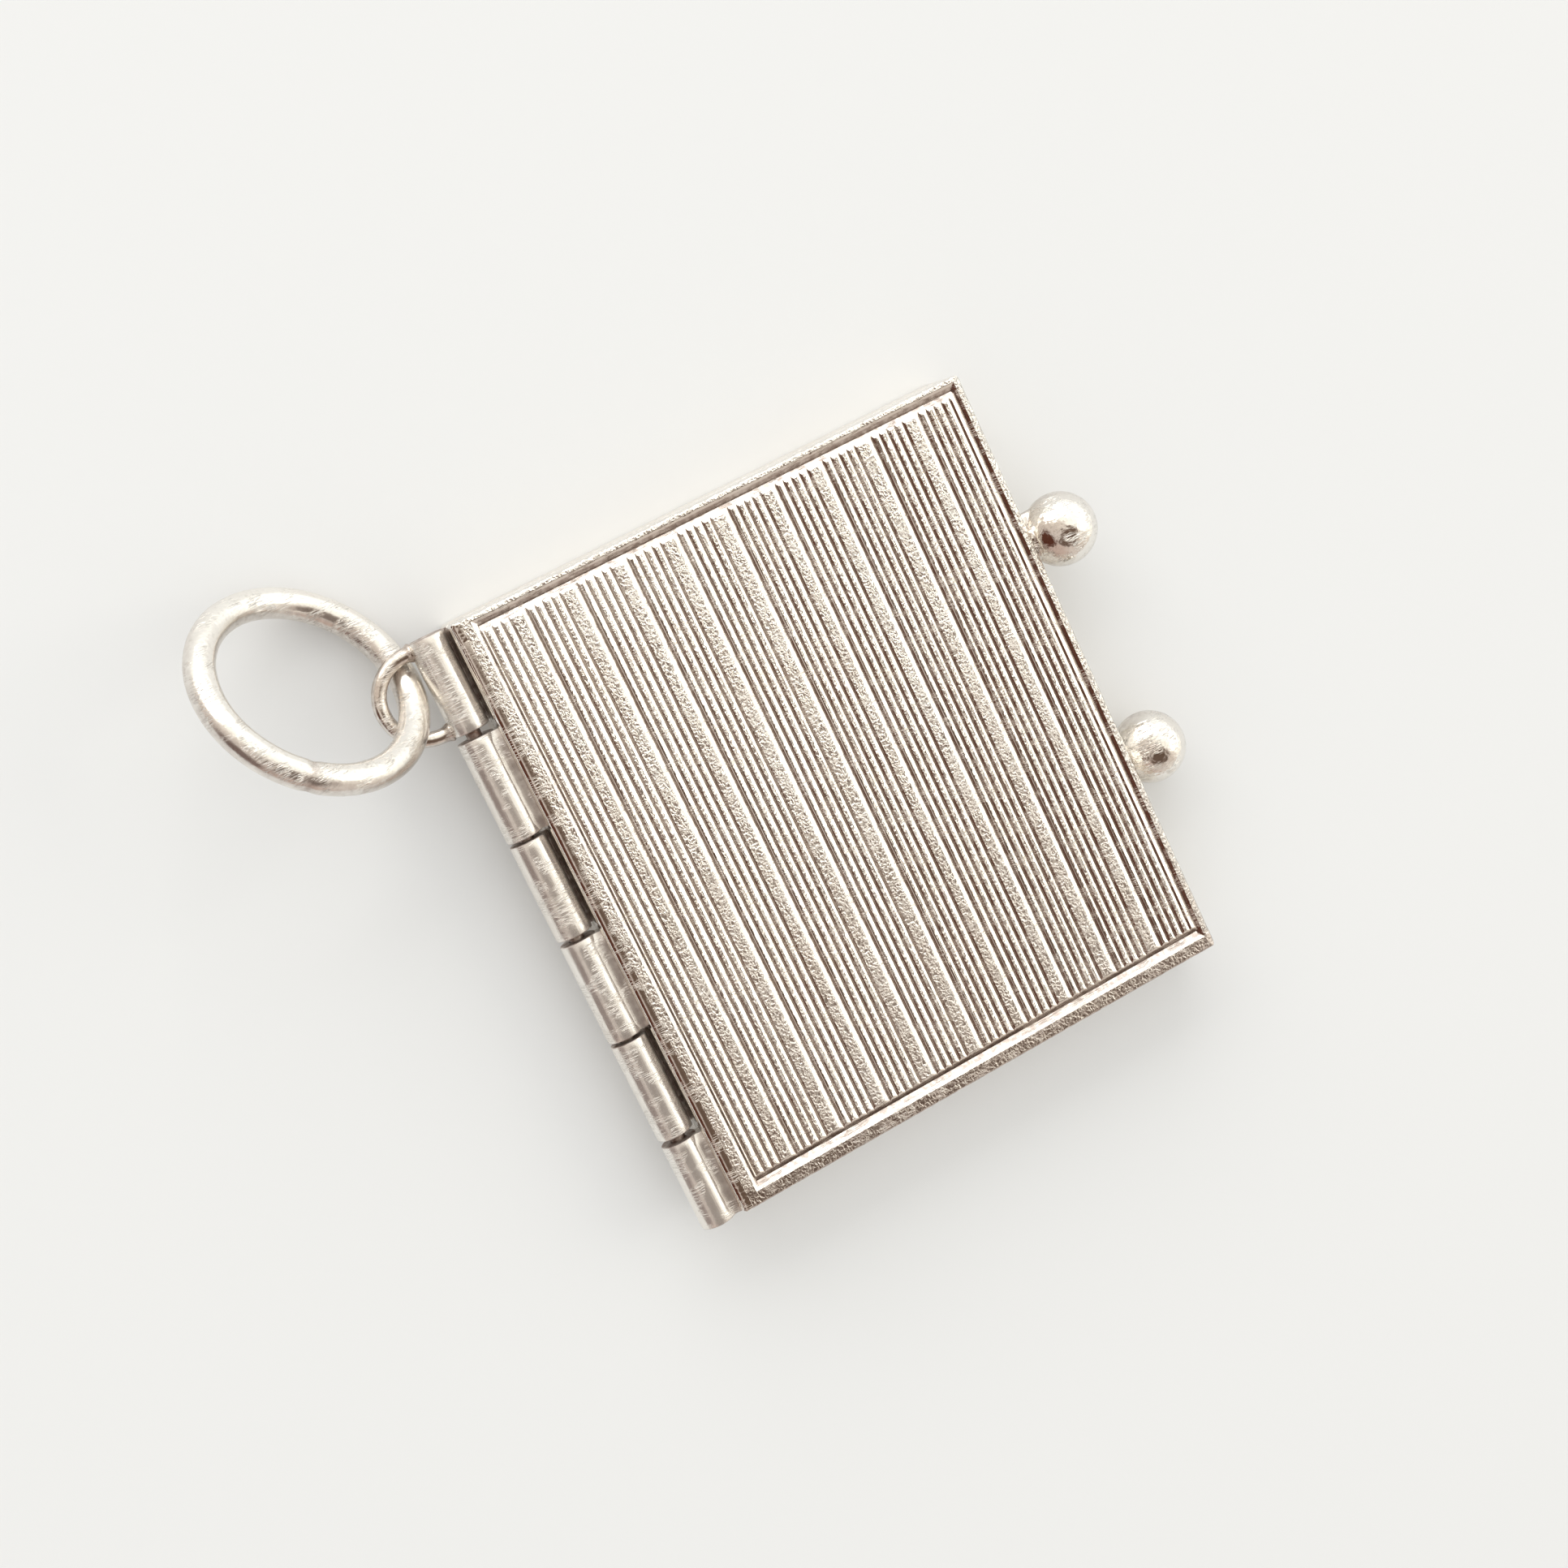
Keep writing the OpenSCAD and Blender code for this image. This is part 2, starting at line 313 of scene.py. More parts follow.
    # Height of all the marks, in micrometres
    height = both("MULTIPLY", cloud(streak_grain, 2.0, (1, 0.035, 1)), streaks)
    for marks, depth in ((cloud(dent_grain, 2.0), dents), (pitting, pits), (lines, -scratches)):
        height = both("ADD", height, both("MULTIPLY", marks, depth))
    height = both("ADD", height, both("MULTIPLY", curls, both("MULTIPLY", rubbed, matt)))
    bump = nodes.new("ShaderNodeBump")
    bump.inputs["Strength"].default_value = 1.0
    bump.inputs["Distance"].default_value = 1e-6
    links.new(height, bump.inputs["Height"])
    links.new(bump.outputs["Normal"], shader.inputs["Normal"])
    return metal


def fit_piece(name, points, faces, metal, body, node, crease=30.0, tarnish_and_shade=0.0, rubbed=0.0):
    """Puts one piece together from points in millimetres and hangs it on its body."""
    mesh = bpy.data.meshes.new(name)
    mesh.from_pydata((np.asarray(points, float) * MM).tolist(), [], faces)
    mesh.materials.append(metal)
    for label, values in (("tarnish_and_shade", tarnish_and_shade), ("rubbed", rubbed)):
        layer = mesh.attributes.new(label, "FLOAT", "POINT")
        layer.data.foreach_set("value", np.zeros(len(points), np.float32) + np.float32(values))
    mesh.validate()
    mesh.polygons.foreach_set("use_smooth", [True] * len(mesh.polygons))
    mesh.set_sharp_from_angle(angle=math.radians(crease))
    piece = bpy.data.objects.new(name, mesh)
    bpy.context.scene.collection.objects.link(piece)
    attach(piece, body)
    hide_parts(node)


def cover_lines(stops, widest):
    """Grid lines through the stops, with more between them where they lie wide apart."""
    stops = sorted(stops)
    kept = [stops[0]]
    for stop in stops[1:]:
        if stop - kept[-1] > closest_lines:
            kept.append(stop)
    lines = [kept[0]]
    for low, high in zip(kept, kept[1:]):
        limit = widest(low, high) if callable(widest) else widest
        steps = max(1, math.ceil((high - low) / limit))
        lines += [low + (high - low) * k / steps for k in range(1, steps + 1)]
    return np.array(lines)


def round_over(inside, radius):
    """How far a rounded edge has dropped, a given distance inside it."""
    short = np.clip(radius - inside, 0, radius)
    return radius - np.sqrt(radius**2 - short**2)


def cover_shell(xs, ys, relief, up, inner_z, recess):
    """A cover: its outer face is a grid raised by relief(x, y) from inner_z in direction up,
    its wall runs to the flat inner rim, and the photo recess is sunk behind that."""
    x, y = np.meshgrid(xs, ys)
    # The four corners are turned from square to round
    over_x = (np.abs(x) - (half_w - corner_r)) / corner_r
    over_y = (np.abs(y) - (half_h - corner_r)) / corner_r
    corner = (over_x > 0) & (over_y > 0)
    round_x = over_x * np.sqrt(np.clip(1 - over_y**2 / 2, 0, 1))
    round_y = over_y * np.sqrt(np.clip(1 - over_x**2 / 2, 0, 1))
    x = np.where(corner, np.sign(x) * (half_w - corner_r + corner_r * round_x), x)
    y = np.where(corner, np.sign(y) * (half_h - corner_r + corner_r * round_y), y)
    rows, columns = x.shape
    height, tarnish_and_shade, rubbed = relief(x, y)
    z = inner_z + up * height
    points = np.stack([x, y, z], -1).reshape(-1, 3).tolist()
    index = np.arange(rows * columns).reshape(rows, columns)
    quads = np.stack([index[:-1, :-1], index[:-1, 1:], index[1:, 1:], index[1:, :-1]], -1)
    faces = quads.reshape(-1, 4).tolist()
    # Round the outline, from the outer face to the inner rim and down into the recess
    ring = np.concatenate([index[0, :-1], index[:-1, -1], index[-1, :0:-1], index[:0:-1, 0]])
    outline = np.array(points)[ring]
    inset = [1 - inner_edge / half_w, 1 - inner_edge / half_h]
    mouth = [1 - recess_rim / half_w, 1 - recess_rim / half_h]
    loops = [
        ([1, 1], inner_z + up * inner_edge),
        (inset, inner_z),
        ([mouth[0] + recess_bevel, mouth[1] + recess_bevel], inner_z),
        (mouth, inner_z + up * inner_edge),
        (mouth, inner_z + up * recess),
    ]
    last = ring
    for scale, level in loops:
        start = len(points)
        points += [(px * scale[0], py * scale[1], level) for px, py, _ in outline]
        loop = np.arange(start, start + len(ring))
        faces += np.stack([last, loop, np.roll(loop, -1), np.roll(last, -1)], -1).tolist()
        last = loop
    points.append((0, 0, inner_z + up * recess))
    faces += [(int(a), len(points) - 1, int(b)) for a, b in zip(last, np.roll(last, -1))]
    if up < 0:
        faces = [tuple(reversed(face)) for face in faces]
    extra = len(points) - rows * columns
    tarnish_and_shade = np.concatenate([tarnish_and_shade.ravel(), np.full(extra, inside_grime)])
    rubbed = np.concatenate([rubbed.ravel(), np.full(extra, inside_rub)])
    return points, faces, tarnish_and_shade, rubbed


def edge_stops(half, radius):
    """Grid lines that follow the rounding of an edge, closest together where it is steepest."""
    return [half - radius * s for s in (0, 0.06, 0.2, 0.42, 0.7, 1.0)]


def plain_relief(x, y):
    """The back face: flat but for its worn edges and the faint dents of long wear."""
    inside = np.minimum(half_w - x, half_h - np.abs(y))
    drop = np.maximum(round_over(inside, edge_r), round_over(x + half_w, shoulder_r))
    dent = np.vectorize(lambda a, b: noise.noise(Vector((a * worn_grain, b * worn_grain, 7.0))))
    height = back_t - drop - worn_depth * (1 + dent(x, y)) * np.clip(inside / worn_from_edge, 0, 1)
    return height, np.full(x.shape, back_grime), np.full(x.shape, back_rub)


spine_stops = [-half_w + shoulder_r * s for s in (0, 0.03, 0.1, 0.22, 0.38, 0.58, 0.8, 1.0)]
head_stops = edge_stops(half_h, edge_r)
foot_stops = [-s for s in head_stops]
back_xs = cover_lines(spine_stops + [0.0] + edge_stops(half_w, edge_r), plain_spacing)
back_ys = cover_lines(foot_stops + head_stops, plain_spacing)
handled_silver = silver(
    "handled_silver", rough=(0.20, 0.30), streaks=3.0, dents=14.0, pits=4.0, scratches=10.0,
    warmth=0.5, matt=12.0,
)
points, faces, tarnish_and_shade, rubbed = cover_shell(back_xs, back_ys, plain_relief, -1, back_t, back_recess)
fit_piece("back_cover_tray", points, faces, handled_silver, "base", "back_cover",
          tarnish_and_shade=tarnish_and_shade, rubbed=rubbed)


# FRONT COVER
# The same sheet, thinner, its face cut on the engine-turning lathe: groups of five fine V
# grooves with a matt band between groups, framed by a deeper V groove and a flat rim.
# The cut flanks stay bright, the bottoms hold old tarnish and the crests are rubbed.
front_t = 1.3
cover_gap = 0.05
front_z = back_t + cover_gap
front_recess = 0.65
fore_edge_r = 0.30
fore_edge_wear = 0.45
groove_pitch = 0.35
groove_depth = 0.085
lead_depth = 0.105
grooves_in_group = 5
# Where the first groove of each group is cut; the lathe was set by eye
group_starts = [-9.98, -8.21, -6.04, -3.90, -1.73, 0.46, 2.54, 4.66, 6.83, 8.97]
first_group = 4
pitch_drift = 0.006
depth_drift = 0.003
last_groove_clear = 0.2
# A cut's two flanks above its deepest line: how far out, and how high. Past them the cut has
# left the metal: the last pair carries each flank on upwards, and no_metal ends it.
steep_flank = [(0.0, 0.0), (0.033, 0.040), (0.066, 0.072), (0.098, 0.087), (0.130, 0.090)]
long_flank = [(0.0, 0.0), (0.175, 0.079), (0.200, 0.086), (0.213, 0.089), (0.225, 0.090)]
past_steep = (0.6, 0.5)
past_long = (0.7, 0.5)
no_metal = 9
# How steeply the lathe's cutter rose out of the metal at both ends of each groove
end_slope = 0.64
border_depth = 0.20
valley_left, valley_right = -half_w + 1.00, half_w - 0.44
valley_foot, valley_top = -half_h + 0.86, half_h - 0.50
# The border groove outside its deepest line: how far out, and how deep
border_left = [(0.0, -0.115), (0.19, 0.0)]
border_right = [(0.0, -0.115), (0.14, 0.0)]
border_foot = [(0.0, -border_depth), (0.31, 0.0)]
border_top = [(0.0, -border_depth), (0.31, 0.0)]
scribe_x = -half_w + 0.46
scribe_depth = 0.018
scribe_half = 0.022
# The rims at head and foot are worn ragged: where they begin, how deep, and how fine
rim_from = 11.6
rag_depth = 0.012
rag_grain = (7.0, 9.0)
# Small dents from wear: place, width and depth
nicks = [
    (4.3, 12.56, 0.08, 0.05), (-3.1, 12.55, 0.05, 0.02), (8.2, 12.57, 0.05, 0.025),
    (10.97, 3.2, 0.10, 0.03), (10.95, -2.2, 0.07, 0.03), (10.95, -6.1, 0.06, 0.02),
    (-1.7, -12.3, 0.12, 0.02), (6.4, -12.45, 0.10, 0.02), (-10.45, 4.0, 0.10, 0.012),
]
# How much tarnish each place holds, how much painted shade lies on the low spine shoulder and on the
# crests and rim towards the foot, and how rubbed the crests and the cuts are
face_grime, valley_grime, shoulder_painted_shade = 0.06, 0.55, 0.2
foot_painted_shade, foot_rim_painted_shade = 0.22, 0.25
cut_rub, crest_rub, foot_rim_rub = 0.03, 0.97, 0.4
# Widest spacing of the face's grid lines: across the grooves, along them, and at their ends
across_spacing, along_spacing, end_spacing = 0.05, 1.0, 0.024

random_lathe = np.random.default_rng(5)
valleys = [(valley_left, -border_left[0][1])]
for group, start in enumerate(group_starts):
    for cut in range(first_group if group == 0 else grooves_in_group):
        x = start + cut * groove_pitch + random_lathe.normal(0, pitch_drift)
        if x < valley_right - last_groove_clear:
            depth = lead_depth if cut == 0 and group > 0 else groove_depth
            valleys.append((x, depth + random_lathe.normal(0, depth_drift)))
valleys.append((valley_right, -border_right[0][1]))


def grooves_at(x):
    """The depth of the grooved panel at x: every groove takes metal away from the level."""
    level = np.zeros_like(x)
    for valley, depth in valleys:
        steep = np.interp(x - valley, *zip(*steep_flank, past_steep), left=no_metal)
        longer = np.interp(valley - x, *zip(*long_flank, past_long), left=no_metal)
        level = np.minimum(level, np.where(x >= valley, steep, longer) - depth)
    return level


def outer_flank(distance, stops):
    """The border groove's outer side: its depth at a distance outside the deepest line."""
    return np.interp(distance, [s[0] for s in stops], [s[1] for s in stops], left=-no_metal)


def panel_relief(x, y):
    """The front face: grooves and their cut ends, the border groove, the rim, its worn edges."""
    grooved = grooves_at(x)
    run_out = np.minimum(valley_top - y, y - valley_foot) * end_slope - border_depth
    between = (x > valley_left) & (x < valley_right)
    panel = np.where(between, np.minimum(grooved, run_out), -border_depth)
    border = np.maximum.reduce([
        outer_flank(valley_left - x, border_left), outer_flank(x - valley_right, border_right),
        outer_flank(valley_foot - y, border_foot), outer_flank(y - valley_top, border_top),
    ])
    cut = np.maximum(np.minimum(panel, 0.0), np.minimum(border, 0.0))
    scribe = -scribe_depth * np.clip(1 - np.abs(x - scribe_x) / scribe_half, 0, 1)
    drop = np.maximum.reduce([
        round_over(half_h - np.abs(y), edge_r), round_over(x + half_w, shoulder_r),
        fore_edge_wear * round_over(half_w - x, fore_edge_r), round_over(half_w - x, edge_r),
    ])
    height = front_t + cut + scribe - drop
    rag = np.vectorize(lambda a, b: noise.noise(Vector((a * rag_grain[0], b * rag_grain[1], 3.0))))
    rim = np.abs(y) > rim_from
    height[rim] -= rag_depth * np.clip(0.25 + rag(x[rim], y[rim]), 0, 1) * (cut[rim] > -0.03)
    for nick_x, nick_y, nick_r, nick_d in nicks:
        height = height - nick_d * np.exp(-(((x - nick_x) ** 2 + (y - nick_y) ** 2) / nick_r**2))
    # Old tarnish lies in the valleys; painted shade lies on the low spine shoulder, beside the gap to the
    # knuckles
    deep = np.clip(-cut / groove_depth, 0, 1)
    in_valley = np.clip((deep - 0.70) / 0.30, 0, 1) ** 2 * (grooved > -0.15)
    low_shoulder = np.clip((drop - 0.8 * shoulder_r) / (0.2 * shoulder_r), 0, 1) * (x < 0)
    tarnish_and_shade = face_grime + valley_grime * in_valley + shoulder_painted_shade * low_shoulder
    # Painted shade: the crests are greyer towards the foot, and the rim there most of all, where they
    # mirror the dark side of the room
    flat = np.clip(1 - deep / 0.12, 0, 1)
    past_scribe = np.clip((scribe_x - x) / 0.05, 0, 1)
    foot_rim = y < valley_foot - 0.1
    painted_foot_shade = foot_painted_shade * np.clip(0.35 - y / 14, 0, 1) + foot_rim_painted_shade * foot_rim
    tarnish_and_shade = tarnish_and_shade + flat * (1 - past_scribe) * painted_foot_shade
    # The matt bands and the rim are the most handled
    handled = cut_rub + crest_rub * flat * np.where(foot_rim, foot_rim_rub, 1.0)
    from_edge = np.clip(np.minimum(half_w - np.abs(x), half_h - np.abs(y)) / edge_r, 0, 1)
    return height, tarnish_and_shade, handled * (1 - crest_rub * past_scribe) * from_edge


# Grid lines follow every edge of the section across the grooves and of the cut ends
feature_x = []
for x, depth in valleys:
    feature_x += [x + run for run, rise in steep_flank] + [x - run for run, rise in long_flank]
feature_x += [valley_left - run for run, depth in border_left]
feature_x += [valley_right + run for run, depth in border_right]
feature_x += [scribe_x - scribe_half, scribe_x, scribe_x + scribe_half] + spine_stops
feature_x += edge_stops(half_w, edge_r) + edge_stops(half_w, fore_edge_r)
end_run = border_depth / end_slope + 0.03
feature_y = [valley_foot - run for run, depth in border_foot]
feature_y += [valley_top + run for run, depth in border_top]
feature_y += [valley_foot + end_run, valley_top - end_run] + foot_stops + head_stops


def along_grooves(low, high):
    """Widest spacing of the grid lines along the grooves: close where their ends run out."""
    near_end = low < valley_foot + end_run - 0.001 or high > valley_top - end_run + 0.001
    return end_spacing if near_end else along_spacing


front_xs = cover_lines(feature_x, across_spacing)
front_ys = cover_lines(feature_y, along_grooves)
cut_silver = silver(
    "engine_turned_silver", rough=(0.09, 0.14), streaks=0.8, dents=2.0, pits=1.2, scratches=5.0,
    warmth=0.6, matt=34.0,
)
points, faces, tarnish_and_shade, rubbed = cover_shell(front_xs, front_ys, panel_relief, 1, front_z, front_recess)
fit_piece("front_cover_plate", points, faces, cut_silver, "cover", "front_cover",
          crease=18.0, tarnish_and_shade=tarnish_and_shade, rubbed=rubbed)


# HINGE KNUCKLES
# Six lengths of drawn silver tube along the spine, soldered in turn to the back cover and the
# front cover, with a fillet of solder where each tube meets its cover's edge.
knuckle_r = 0.75
knuckle_gap = 0.10
hinge_x = -half_w - knuckle_gap - knuckle_r
hinge_z = 2.2
pin_r = 0.30
bore_r = pin_r + 0.03
bore_edge = 0.03
tube_edge = 0.06
tube_edge_turn = 0.29
tube_parts, tube_steps = 72, 14
tube_uneven = 0.006
# Upper end, lower end, and the cover that carries each knuckle
knuckles = [
    (12.70, 8.79, "back"), (8.50, 4.26, "front"), (4.13, 0.04, "back"),
    (-0.17, -4.42, "front"), (-4.56, -8.78, "back"), (-9.04, -12.75, "front"),
]
# A lump of solder on the top knuckle's shoulder: its place round the tube and below the upper
# end, its width both ways and its height
lump_turn, lump_turn_half = 0.55, 0.45
lump_below, lump_half = 0.15, 0.22
lump_high = 0.075
# The solder stops short of the tube's ends and is sunk into tube and wall. Its face starts low
# on the tube or high on it, dips between tube and wall, and rises at the wall.
solder_short, solder_in_tube, solder_in_wall = 0.05, 0.05, 0.06
face_above_foot, face_above_middle = 0.08, 0.62
face_dip_near, face_dip_far, face_lip = 0.05, 0.045, 0.02
solder_uneven, solder_taper = 0.03, 0.10
solder_steps = 24
# Painted shade on each tube's side towards its cover and on its solder, from how far out it starts to
# its full strength, and painted shade at the tube's ends by the cracks between the knuckles
seat_from, seat_reach = 0.58, 0.15
seat_painted_shade = {"back": 0.85, "front": 0.40}
crack_reach, crack_painted_shade = 0.06, 0.8
tube_grime = 0.05


def turned_part(profile, parts, place, closed=True):
    """Spins a profile of (radius, along) round an axis, with place() giving each point."""
    points = []
    for radius, along in profile:
        points += [place(radius, along, 2 * math.pi * k / parts) for k in range(parts)]
    faces = []
    count = len(profile)
    for row in range(count if closed else count - 1):
        a, b = row * parts, (row + 1) % count * parts
        for k in range(parts):
            n = (k + 1) % parts
            faces.append((a + k, b + k, b + n, a + n))
    return points, faces


def tube_points(upper, lower, seed):
    """One knuckle: a tube with softened ends, its wall a little uneven from drawing and wear."""
    turn = tube_edge * tube_edge_turn
    end = [(knuckle_r - tube_edge, 0.0), (knuckle_r - turn, turn), (knuckle_r, tube_edge)]
    length = upper - lower
    wall = length - 2 * tube_edge
    rings = [(bore_r, bore_edge), (bore_r + bore_edge, 0.0)] + end
    rings += [(knuckle_r, tube_edge + wall * k / tube_steps) for k in range(1, tube_steps)]
    rings += [(r, length - a) for r, a in reversed(end)]
    rings += [(bore_r + bore_edge, length), (bore_r, length - bore_edge)]

    def place(radius, along, angle):
        wave = noise.noise(Vector((math.cos(angle) * 1.2, math.sin(angle) * 1.2, along * 0.6 + seed)))
        outside = radius > knuckle_r - tube_edge - 0.001
        radius = radius - (tube_uneven * (1 + wave) if outside else 0)
        if seed == 0 and outside:
            round_off = (angle - lump_turn) / lump_turn_half
            along_off = (length - along - lump_below) / lump_half
            radius += lump_high * math.exp(-(round_off**2 + along_off**2))
        return (hinge_x + radius * math.cos(angle), lower + along, hinge_z + radius * math.sin(angle))

    return turned_part(rings, tube_parts, place)


def solder_points(upper, lower, on_back, seed):
    """The solder between one tube and its cover's edge, with a hollow, slightly lumpy face."""
    start, stop = lower + solder_short, upper - solder_short
    if on_back:
        face, root, sign = hinge_z - knuckle_r + face_above_foot, back_t - solder_in_wall, -1
    else:
        face, root, sign = hinge_z + face_above_middle, front_z + solder_in_wall, 1
    wall = -half_w + solder_in_wall
    points, faces = [], []
    for k in range(solder_steps + 1):
        y = start + (stop - start) * k / solder_steps
        lump = solder_uneven * noise.noise(Vector((seed, y * 2.2, 3.0)))
        taper = solder_taper * max(0.0, 1 - min(k, solder_steps - k) / 2)
        rise = face + sign * (lump - taper)
        tube = hinge_x + math.sqrt(knuckle_r**2 - (rise - hinge_z) ** 2) - solder_in_tube
        points += [
            (tube, y, root), (tube, y, rise),
            (tube + 0.30 * (wall - tube), y, rise - sign * face_dip_near),
            (tube + 0.65 * (wall - tube), y, rise - sign * face_dip_far),
            (wall, y, rise + sign * face_lip), (wall, y, root),
        ]
    ring = 6
    for k in range(solder_steps):
        for j in range(ring):
            n = (j + 1) % ring
            quad = (k * ring + j, k * ring + n, (k + 1) * ring + n, (k + 1) * ring + j)
            faces.append(tuple(reversed(quad)) if on_back else quad)
    lower_end = tuple(range(ring))
    upper_end = tuple(range(solder_steps * ring, solder_steps * ring + ring))
    faces.append(lower_end if on_back else tuple(reversed(lower_end)))
    faces.append(tuple(reversed(upper_end)) if on_back else upper_end)
    return points, faces


tube_silver = silver(
    "drawn_tube_silver", rough=(0.20, 0.28), streaks=7.0, dents=3.0, pits=3.0, scratches=8.0,
    warmth=0.6, satin=0.22,
)
for carrier, body, node in (("back", "base", "back_cover"), ("front", "cover", "front_cover")):
    points, faces, tarnish_and_shade = [], [], []
    for seed, (upper, lower, on) in enumerate(knuckles):
        if on != carrier:
            continue
        tube = tube_points(upper, lower, seed * 5.0)
        solder = solder_points(upper, lower, on == "back", seed)
        for made in (tube, solder):
            faces += [tuple(i + len(points) for i in face) for face in made[1]]
            points += made[0]
            for x, y, z in made[0]:
                # Painted shade: the tube darkens on its side towards the cover and at its ends by the
                # cracks
                to_end = min(upper - y, y - lower)
                crack = max(0.0, 1 - to_end / crack_reach) if made is tube else 0.0
                deep = min(1.0, max(0.0, (x - hinge_x - seat_from) / seat_reach))
                tarnish_and_shade.append(min(1.0, tube_grime + seat_painted_shade[on] * deep + crack_painted_shade * crack))
    fit_piece(carrier + "_cover_knuckles", points, faces, tube_silver, body, node,
              tarnish_and_shade=tarnish_and_shade)


# HINGE PIN
# A hard drawn steel wire that holds the two covers together.
# It is pushed through all six knuckles and filed flush at both ends.
pin_top, pin_foot = knuckles[0][0] - 0.02, knuckles[-1][1] + 0.02
pin_length = pin_top - pin_foot
pin_soft = 0.05
pin_parts = 32
pin_rings = [
    (0.0, 0.0), (pin_r - pin_soft, 0.0), (pin_r, pin_soft),
    (pin_r, pin_length - pin_soft), (pin_r - pin_soft, pin_length), (0.0, pin_length),
]


def pin_place(radius, along, angle):
    """A point of the pin: out from the hinge line, and up it from the foot."""
    return (hinge_x + radius * math.cos(angle), pin_foot + along, hinge_z + radius * math.sin(angle))


pin_wire = silver(
    "pin_wire", rough=(0.28, 0.38), streaks=3.0, dents=1.0, pits=2.0, scratches=2.0, warmth=1.0,
)
points, faces = turned_part(pin_rings, pin_parts, pin_place, closed=False)
# Painted shade: the pin is coloured near black to stand for the shade in the slots between the knuckles
fit_piece("hinge_pin_wire", points, faces, pin_wire, "base", "hinge_pin", tarnish_and_shade=0.9)


# FORE EDGE BALLS
# Two polished silver balls, one soldered to each cover's fore edge and staggered, by which the
# covers are parted. The upper one has a broad fillet of solder, the lower one a thin neck.
ball_r = 1.5
ball_x = half_w + 0.02 + ball_r
# Height up the book, height of its centre, of its neck, and the neck's reach at the cover:
# towards the top, towards the foot, and up or down; then the neck's share of the ball's radius
balls = {
    "front": (5.34, hinge_z + 0.25, front_z + 0.55, 1.25, 0.80, 0.50, 0.50),
    "back": (-4.48, ball_r + 0.02, back_t - 0.70, 0.60, 0.72, 0.55, 0.42),
}
# The necks start a little inside the cover, widen towards it, and beside it each keeps to its
# own cover
neck_from = half_w - 0.08
neck_curve, neck_hold = 1.6, 1.8
beside_cover = half_w + 0.03
above_joint, below_joint = front_z + 0.02, back_t - 0.01
# A web of solder runs from the upper ball's top side to the cover
web_end = half_w + 0.8
web_reach, web_growth, web_half = 1.25, 0.04, 0.45
ball_uneven = 0.004
ball_pole = 0.03
ball_parts, ball_steps, neck_steps = 96, 56, 10
# Painted shade at the neck's waist, and painted shade round the ball's sides, which outline it from above
waist_painted_shade, waist_at, waist_half = 0.45, 0.55, 0.3
ball_grime, ball_side_painted_shade = 0.03, 0.42

bright_silver = silver(
    "polished_silver", rough=(0.05, 0.12), streaks=0.0, dents=55.0, pits=12.0, scratches=12.0,
    warmth=0.45,
)
for carrier, body, node in (("front", "cover", "front_cover"), ("back", "base", "back_cover")):
    ball_y, ball_z, neck_z, reach_top, reach_foot, reach_side, neck_share = balls[carrier]
    meet = math.asin(neck_share)
    meet_x = ball_x - ball_r * math.cos(meet)
    rings = []
    for k in range(neck_steps):
        t = k / neck_steps
        x = neck_from + (meet_x - neck_from) * (1 - (1 - t) ** neck_curve)
        rings.append((t, x, ball_r * math.sin(meet)))
    for k in range(ball_steps):
        a = meet + (math.pi - ball_pole - meet) * k / (ball_steps - 1)
        rings.append((1.0, ball_x - ball_r * math.cos(a), ball_r * math.sin(a)))
    points, tarnish_and_shade = [], []
    for t, x, radius in rings:
        hold = (1 - t) ** neck_hold
        for k in range(ball_parts):
            a = 2 * math.pi * k / ball_parts
            cy, cz = math.cos(a), math.sin(a)
            reach = math.hypot((reach_top if cy > 0 else reach_foot) * cy, reach_side * cz)
            r = radius * (0.80 + 0.20 * t) * (1 - hold) + reach * hold
            r *= 1 - ball_uneven * (1 + noise.noise(Vector((x * 1.3, cy * 2, cz * 2))))
            if carrier == "front" and cy > 0 and x < web_end:
                web = web_reach + web_growth * (x - half_w)
                r = max(r, web * math.exp(-((cz / web_half) ** 2)))
            z = ball_z + (neck_z - ball_z) * hold + r * cz
            if x < beside_cover:
                z = max(z, above_joint) if carrier == "front" else min(z, below_joint)
            points.append((x, ball_y + r * cy, z))
            # Painted shade darkens the neck's waist and the ball's outline
            side = (1 - min(1.0, abs(r * cz) / ball_r)) ** 2
            waist = math.exp(-((t - waist_at) / waist_half) ** 2)
            tarnish_and_shade.append(waist_painted_shade * waist if t < 1 else ball_grime + ball_side_painted_shade * side)
    faces = []
    for row in range(len(rings) - 1):
        a, b = row * ball_parts, (row + 1) * ball_parts
        for k in range(ball_parts):
            n = (k + 1) % ball_parts
            faces.append((a + k, b + k, b + n, a + n))
    faces.append(tuple(range(ball_parts)))
    faces.append(tuple(reversed(range((len(rings) - 1) * ball_parts, len(rings) * ball_parts))))
    fit_piece(carrier + "_cover_ball", points, faces, bright_silver, body, node,
              crease=40.0, tarnish_and_shade=tarnish_and_shade)


# WIRE LOOP
# A short round silver wire bent to a D and soldered by both ends to the side of the top
# knuckle. It is level with the hinge and carries the jump ring.
loop_wire_r = 0.30
loop_r = 1.65
loop_y = 10.74
loop_bend_x = hinge_x - knuckle_r - loop_wire_r + 0.02
loop_foot_x = hinge_x - knuckle_r + 0.12
loop_parts = 32
arm_steps, bend_steps = 8, 64
loop_uneven = 0.008
# The solder flares out round both ends of the wire
solder_flare, flare_reach = 0.10, 0.28
# Tarnish overall and at the soldered ends, and painted shade along the wire's two sides, which outline it
# from above
loop_grime, loop_end_grime, loop_side_painted_shade = 0.12, 0.30, 0.45


